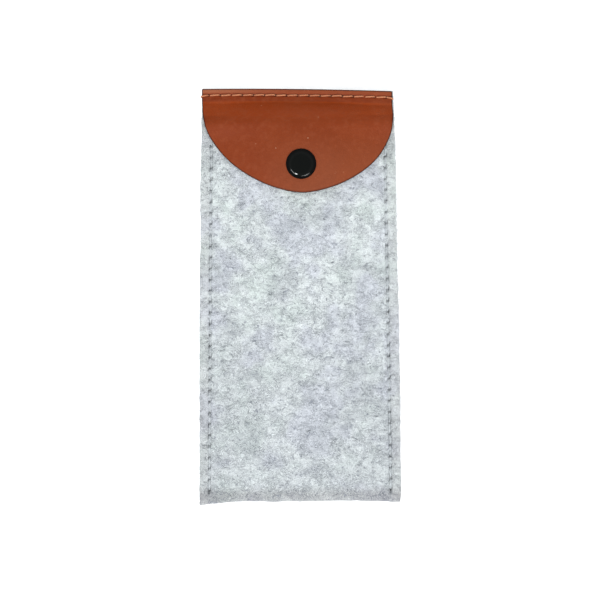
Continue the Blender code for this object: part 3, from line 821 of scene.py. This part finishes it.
def make_flap():
    columns = [flap_column(k) for k in range(FLAP_ACROSS + 1)]
    rows = []
    for line in MARGIN_LINES:
        y = TOP_Y - EDGE_INSET - line * (TOP_Y - EDGE_INSET - HINGE_Y) / MARGIN_LINES[-1]
        rows.append([(x, y) for x, _ in columns])
    for i in range(1, FLAP_DOWN + 1):
        share = (i / FLAP_DOWN) ** FLAP_CROWDING
        rows.append([(x, HINGE_Y + (end - HINGE_Y) * share) for x, end in columns])
    width = FLAP_ACROSS + 1
    depth = len(rows)
    flat = [place for row in rows for place in row]
    rim = list(range(width)) + [i * width + width - 1 for i in range(1, depth)]
    rim += [(depth - 1) * width + k for k in reversed(range(width - 1))]
    rim += [i * width for i in reversed(range(1, depth - 1))]
    on_rim = set(rim)

    def frame_at(x, y):
        """Point of the inner face and the direction through the leather there."""
        step = 0.05 * MM
        z = flap_inner(x, y)
        slope_y = 0 if y > HINGE_Y - step else (flap_inner(x, y + step) - z) / step
        slope_x = 0 if y > HINGE_Y - step else (flap_inner(x + step, y) - z) / step
        through = Vector((-slope_x, -slope_y, 1)).normalized()
        return Vector((x + lean(y), y, z)), through

    points = []
    edge_paint_and_shade = []
    strip_sheen = []
    tip_sheen = []
    tone = []
    inner = []
    for level in (1, 0):
        for corner, (x, y) in enumerate(flat):
            base, through = frame_at(x, y)
            point = base + through * LEATHER * level
            if level:
                dip, hole = leather_dip(x, y)
                soft = noise.fractal(point * 90, 0.8, 2.0, 2) * LEATHER_WAVE
                point.z += soft * smooth((HINGE_Y - y) / (6 * MM)) - dip
                edge_paint_and_shade.append(max(min(hole * HOLE_SHADE, 1), RIM_PAINT_AND_SHADE if corner in on_rim else 0))
                # Painted sheen on the sewn strip above the stitches, stronger towards the left
                strip = float(smooth((y - ROW_Y - 0.3 * MM) / (1.2 * MM)))
                strip_sheen.append(strip * (0.22 + 0.5 * float(smooth(-x / FLAP_HALF_WIDTH))))
            else:
                edge_paint_and_shade.append(0)
                strip_sheen.append(0)
            points.append(point)
            tip_sheen_here, shading = leather_tones(x, y)
            tip_sheen.append(tip_sheen_here)
            tone.append(shading)
            inner.append(1 - level)
    count = len(flat)
    faces = []
    for i in range(depth - 1):
        for k in range(width - 1):
            here = i * width + k
            square = (here, here + width, here + width + 1, here + 1)
            faces += [square, tuple(corner + count for corner in square)]

    rings = [rim]
    middle = Vector((0, ROW_Y - 15 * MM))
    for out, depth_down in EDGE_RINGS[1:-1]:
        ring = []
        for k, corner in enumerate(rim):
            before = Vector(flat[rim[k - 1]])
            after = Vector(flat[rim[(k + 1) % len(rim)]])
            here = Vector(flat[corner])
            one = (here - before).normalized()
            two = (after - here).normalized()
            outward = Vector((one.y + two.y, -one.x - two.x))
            outward.normalize()
            if outward.dot(here - middle) < 0:
                outward = -outward
            base, through = frame_at(*flat[corner])
            reach = Vector((outward.x, outward.y, 0)) * out * MM
            ring.append(len(points))
            points.append(base + through * (LEATHER - depth_down * MM) + reach)
            edge_paint_and_shade.append(1)
            strip_sheen.append(0)
            tip_sheen.append(0)
            tone.append(0.5)
            inner.append(0)
        rings.append(ring)
    rings.append([corner + count for corner in rim])
    for upper, lower in zip(rings, rings[1:]):
        for k in range(len(rim)):
            after = (k + 1) % len(rim)
            faces.append((upper[k], upper[after], lower[after], lower[k]))
    mesh = bpy.data.meshes.new("leather_flap")
    mesh.from_pydata(lowered(points).tolist(), [], faces)
    face_outwards(mesh)
    obj = add_mesh("leather_flap", mesh, LEATHER_LOOK, None)
    paint(obj, "edge", edge_paint_and_shade)
    paint(obj, "strip_sheen", strip_sheen)
    paint(obj, "tip_sheen", tip_sheen)
    paint(obj, "tone", tone)
    paint(obj, "inner", inner)
    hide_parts("flap_sewn_edge", "flap_panel")
    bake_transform(obj)


# ---------------------------------------------------------------- threads

PLIES = 3
PLY_TWIST = 1.5 * MM


def strand(path, radius, spacing, sides):
    """A thread of twisted plies round a path, as points and faces."""
    path = np.array(path)
    along = np.concatenate([[0], np.cumsum(np.linalg.norm(np.diff(path, axis=0), axis=1))])
    places = np.arange(0, along[-1], spacing)
    centre = np.stack([np.interp(places, along, path[:, k]) for k in range(3)], 1)
    for _ in range(3):
        centre[1:-1] = centre[1:-1] / 2 + (centre[:-2] + centre[2:]) / 4
    forward = np.gradient(centre, axis=0)
    forward /= np.linalg.norm(forward, axis=1, keepdims=True)
    across = np.cross(forward, (0.2, 0.1, 0.97))
    across /= np.linalg.norm(across, axis=1, keepdims=True) + 1e-12
    upward = np.cross(across, forward)
    plies = []
    for ply in range(PLIES):
        turn = (places / PLY_TWIST * math.tau + ply * math.tau / PLIES)[:, None]
        plies.append(centre + (across * np.cos(turn) + upward * np.sin(turn)) * radius * 0.52)
    radii = np.full((PLIES, len(places)), radius * 0.56)
    return tubes(np.stack(plies), radii, sides)


def stitch_path(holes, surface, dip, hump, slant, steps=12):
    """The thread's line over the surface from hole to hole; surface gives the height at (x, y)."""
    path = []
    for (ax, ay), (bx, by) in zip(holes, holes[1:]):
        wander = rng.normal(0, 0.06 * MM, 2)
        length = math.dist((ax, ay), (bx, by))
        nx, ny = (ay - by) / length, (bx - ax) / length
        for k in range(steps):
            t = k / steps
            sideways = slant * (t - 0.5) * 2 * smooth(min(t, 1 - t) * 8) + wander[0] * math.sin(t * math.pi)
            x = ax + (bx - ax) * t + nx * sideways
            y = ay + (by - ay) * t + ny * sideways
            rise = min(smooth(t * 5.5), smooth((1 - t) * 5.5))
            path.append((x, y, surface(x, y) + (hump + wander[1]) * rise - dip * (1 - rise)))
    x, y = holes[-1]
    path.append((x, y, surface(x, y) - dip))
    return path


def make_thread(name, path, radius, finish, spacing=0.22 * MM, sides=6):
    points, faces = strand(lowered(path), radius, spacing, sides)
    mesh = bpy.data.meshes.new(name)
    mesh.from_pydata(points.tolist(), [], faces)
    face_outwards(mesh)
    obj = add_mesh(name, mesh, finish, "pouch")
    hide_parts(name.replace("_twisted", ""))


def make_threads():
    for side, word in ((-1, "left"), (1, "right")):
        holes = seam_holes(side)
        front = stitch_path(holes, front_top, 1.7 * MM, -0.3 * MM, 0.1 * MM)
        make_thread(f"{word}_seam_needle_thread_twisted", front, 0.27 * MM, GREY_THREAD)
        back = stitch_path(holes, lambda x, y: 0.0, -1.7 * MM, 0.42 * MM, 0.1 * MM)
        name = f"{word}_seam_bobbin_thread_twisted"
        make_thread(name, back, 0.25 * MM, GREY_THREAD, 0.3 * MM, 5)
    holes = row_holes()
    top = STRIP_Z + LEATHER
    over = stitch_path(holes, lambda x, y: top, 1.6 * MM, 0.12 * MM, 0.2 * MM)
    wrap = [(40.62, -0.7, -2.3), (40.75, -0.7, -1.4), (40.72, -0.6, -0.4)]
    wrap += [(40.35, -0.4, 0.2), (39.4, -0.2, 0.25), (holes[-1][0] / MM + 0.6, 0, 0.1)]
    left, right = (
        [(side * x * MM + FLAP_START, ROW_Y + y * MM, top + z * MM) for x, y, z in wrap]
        for side in (-1, 1)
    )
    whole = left + over + right[::-1]
    make_thread("flap_row_needle_thread_twisted", whole, 0.32 * MM, TAN_THREAD, 0.16 * MM)
    under = stitch_path(holes, lambda x, y: 0.0, -1.4 * MM, 0.4 * MM, 0.12 * MM)
    make_thread("flap_row_bobbin_thread_twisted", under, 0.28 * MM, TAN_THREAD, 0.25 * MM, 5)


# ---------------------------------------------------------------- snap fastener

ROUND_SIDES = 96
CORNER_CUT = 0.22
RING_RADIUS = 2.52 * MM
RING_WIRE = 0.26 * MM
RING_OPENING = math.radians(36)
RING_STEPS = 90
RIM_SHADE_START = 4.6
RIM_SHADE_WIDTH = 1.2


def rounded(profile, times=2):
    """The profile with its corners cut finer, its first and last points kept."""
    for _ in range(times):
        finer = [profile[0]]
        for (ar, ah), (br, bh) in zip(profile, profile[1:]):
            for share in (CORNER_CUT, 1 - CORNER_CUT):
                finer.append((ar + (br - ar) * share, ah + (bh - ah) * share))
        profile = finer + [profile[-1]]
    return profile


def turned(name, profile, base, finish, body, node):
    """A turned piece with its profile in mm above base: axis to axis, or a closed loop off the axis."""
    on_axis = profile[0][0] == 0
    profile = rounded(profile if on_axis else [*profile, profile[0]])
    if not on_axis:
        profile = profile[:-1]
    rings = []
    points = []
    for radius, height in profile:
        count = 1 if radius == 0 else ROUND_SIDES
        rings.append(list(range(len(points), len(points) + count)))
        for k in range(count):
            turn = math.tau * k / ROUND_SIDES
            x = SNAP_X + radius * MM * math.cos(turn)
            y = SNAP_Y + radius * MM * math.sin(turn)
            points.append((x, y, base + height * MM))
    pairs = list(zip(rings, rings[1:]))
    if not on_axis:
        pairs.append((rings[-1], rings[0]))
    faces = []
    for upper, lower in pairs:
        for k in range(ROUND_SIDES):
            corners = [upper[k % len(upper)], lower[k % len(lower)]]
            corners += [lower[(k + 1) % len(lower)], upper[(k + 1) % len(upper)]]
            corners = list(dict.fromkeys(corners))
            if len(corners) > 2:
                faces.append(corners)
    mesh = bpy.data.meshes.new(name)
    mesh.from_pydata(points, [], faces)
    face_outwards(mesh)
    obj = add_mesh(name, mesh, finish, body)
    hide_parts(node)
    return obj


def make_snap():
    """Each profile is a list of (radius, height) in mm."""
    cover = [(0, 1.54), (2.4, 1.53), (3.7, 1.48), (4.4, 1.36), (5.1, 1.11), (5.7, 0.79)]
    cover += [(6.2, 0.42), (6.45, 0.12), (6.3, 0), (5.6, 0), (5.6, 0.2), (5.9, 0.26)]
    cover += [(5.7, 0.5), (5.2, 0.75), (4.5, 0.98), (3.6, 1.12), (0, 1.2)]
    cap = turned("snap_cap_cover", cover, CAP_LOW, ENAMEL, "flap", "snap_cap")
    # Painted shade on the cap's rim, by distance from its axis
    from_axis = [math.hypot(v.co.x - SNAP_X, v.co.y - SNAP_Y) / MM for v in cap.data.vertices]
    paint(cap, "rim", [float(smooth((r - RIM_SHADE_START) / RIM_SHADE_WIDTH)) for r in from_axis])

    flange = (CAP_LOW - STUD_BASE) / MM + 0.3
    post = [(1.05, flange + 0.35), (5.85, flange + 0.35), (5.85, flange), (1.55, flange), (1.55, 2.5)]
    post += [(2.1, 2.47), (2.2, 2.35), (2, 2.22), (1.5, 2.3), (1.05, 2.5)]
    turned("snap_cap_rivet", post, STUD_BASE, PLATED, "flap", "snap_cap_post")

    socket = [(1.75, 2.85), (5.2, 2.85), (5.42, 2.78), (5.42, 2.6), (5.2, 2.5), (4.5, 2.45)]
    socket += [(4.42, 2.2), (4.42, 0.4), (4.3, 0.2), (3.9, 0.17), (3.2, 0.2), (3.17, 0.35)]
    socket += [(3.2, 0.5), (4.05, 0.52), (4.1, 0.7), (4.08, 2.5), (1.75, 2.55)]
    turned("snap_socket_cup", socket, STUD_BASE, PLATED, "flap", "snap_socket")

    stud = [(0, 2), (1.6, 2), (2.2, 1.92), (2.5, 1.72), (2.65, 1.4), (2.58, 1.22), (2.2, 0.95), (2.13, 0.7)]
    stud += [(2.15, 0.25), (2.4, 0.03), (5, -0.05), (5.2, -0.2), (5.15, -0.4), (4.9, -0.45), (1.85, -0.45)]
    stud += [(1.85, 1.3), (1.6, 1.6), (0, 1.65)]
    turned("snap_stud_head", stud, STUD_BASE, PLATED, "pouch", "snap_stud")

    low = (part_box("snap_stud_post")[0].z - STUD_BASE) / MM
    rivet = [(1.15, 1.2), (1.68, 1.2), (1.75, 1.05), (1.65, 0.8), (1.65, low + 0.5), (4.7, low + 0.5)]
    rivet += [(4.85, low + 0.3), (4.6, low + 0.08), (3, low)]
    rivet += [(1.6, low), (1.2, low + 0.1), (1.15, low + 0.3)]
    turned("snap_stud_rivet", rivet, STUD_BASE, PLATED, "pouch", "snap_stud_post")

    turns = RING_OPENING / 2 + (math.tau - RING_OPENING) * np.linspace(0, 1, RING_STEPS)
    ring_z = (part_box("snap_ring_spring")[0].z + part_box("snap_ring_spring")[1].z) / 2
    around = RING_RADIUS * np.stack([np.cos(turns), np.sin(turns), 0 * turns], 1)
    wire = around + [SNAP_X, SNAP_Y, ring_z]
    points, faces = tubes(wire[None], np.full((1, len(turns)), RING_WIRE), 12)
    obj = add_piece("snap_ring_wire", points, faces, PLATED, "flap")
    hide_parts("snap_ring_spring")


# ---------------------------------------------------------------- room

LENS = 150
SENSOR = 36
VIEW_WIDTH = 254.2 * MM
VIEW_CENTRE = (0.4 * MM, -2.3 * MM, 8 * MM)
VIEW_ROLL = math.radians(-0.33)
FLOOR_REACH = 3.0
FLOOR_Z = -0.2 * MM
SKY = 1.04
GROUND_COLOUR = (0.34, 0.35, 0.36, 1)
ZENITH_COLOUR = (0.44, 0.45, 0.46, 1)
# Height and brightness of the sky between the two
SKY_TONES = ((0.3, 0.86), (0.82, 0.9), (0.96, 0.5))
LIT_PLACE = (0, 0.02, 0)
# Name, place, size and power of each light, and whether it only makes highlights
LIGHTS = (
    ("window", (-0.68, -1.25, 1.95), (0.27, 0.32), 19.0, False),
    ("soft_box", (0.95, -1.55, 1.55), (0.85, 0.24), 19.0, False),
    ("left_card", (-1.2, -1.12, 1.85), (1.15, 0.17), 36.0, True),
    ("bright_card", (-0.66, -1.22, 1.9), (0.24, 0.3), 30.0, True),
    ("right_card", (0.55, -1.6, 1.6), (0.95, 0.13), 18.0, True),
)


def area_light(name, place, size, power, only_shine):
    data = bpy.data.lights.new(name, "AREA")
    data.shape = "RECTANGLE"
    data.size, data.size_y = size
    data.energy = power
    obj = bpy.data.objects.new(name, data)
    obj.location = place
    obj.rotation_euler = (Vector(LIT_PLACE) - Vector(place)).to_track_quat("-Z", "Y").to_euler()
    obj.visible_diffuse = not only_shine
    bpy.context.scene.collection.objects.link(obj)


def make_floor():
    mesh = bpy.data.meshes.new("floor")
    corners = [(x * FLOOR_REACH, y * FLOOR_REACH, 0) for x, y in ((-1, -1), (1, -1), (1, 1), (-1, 1))]
    mesh.from_pydata(corners, [], [(0, 1, 2, 3)])
    mesh.materials.append(floor_material())
    floor = bpy.data.objects.new("floor", mesh)
    floor.location.z = FLOOR_Z
    bpy.context.scene.collection.objects.link(floor)


def make_sky():
    world = bpy.data.worlds.new("studio")
    world.use_nodes = True
    nodes = world.node_tree.nodes
    links = world.node_tree.links
    place = nodes.new("ShaderNodeTexCoord")
    split = nodes.new("ShaderNodeSeparateXYZ")
    links.new(place.outputs["Generated"], split.inputs[0])
    ramp = nodes.new("ShaderNodeValToRGB")
    links.new(split.outputs["Z"], ramp.inputs[0])
    stops = ramp.color_ramp.elements
    stops[0].position = 0.0
    stops[0].color = GROUND_COLOUR
    stops[1].position = 1.0
    stops[1].color = ZENITH_COLOUR
    for height, tone in SKY_TONES:
        stop = stops.new(height)
        stop.color = (tone * 0.985, tone * 0.995, tone, 1)
    links.new(ramp.outputs[0], nodes["Background"].inputs["Color"])
    nodes["Background"].inputs["Strength"].default_value = SKY
    bpy.context.scene.world = world


def make_camera():
    """Straight above the pouch, from far off."""
    camera = bpy.data.cameras.new("camera")
    camera.lens = LENS
    camera.sensor_width = SENSOR
    eye = bpy.data.objects.new("camera", camera)
    x, y, z = VIEW_CENTRE
    eye.location = (x, y, VIEW_WIDTH * LENS / SENSOR + z)
    eye.rotation_euler = (0, 0, VIEW_ROLL)
    bpy.context.scene.collection.objects.link(eye)
    bpy.context.scene.camera = eye
    bpy.context.scene.view_settings.view_transform = "Standard"


make_felt()
for fibres in FIBRES:
    felt_fibres(*fibres)
make_flap()
make_threads()
make_snap()
make_floor()
make_sky()
for light in LIGHTS:
    area_light(*light)
make_camera()
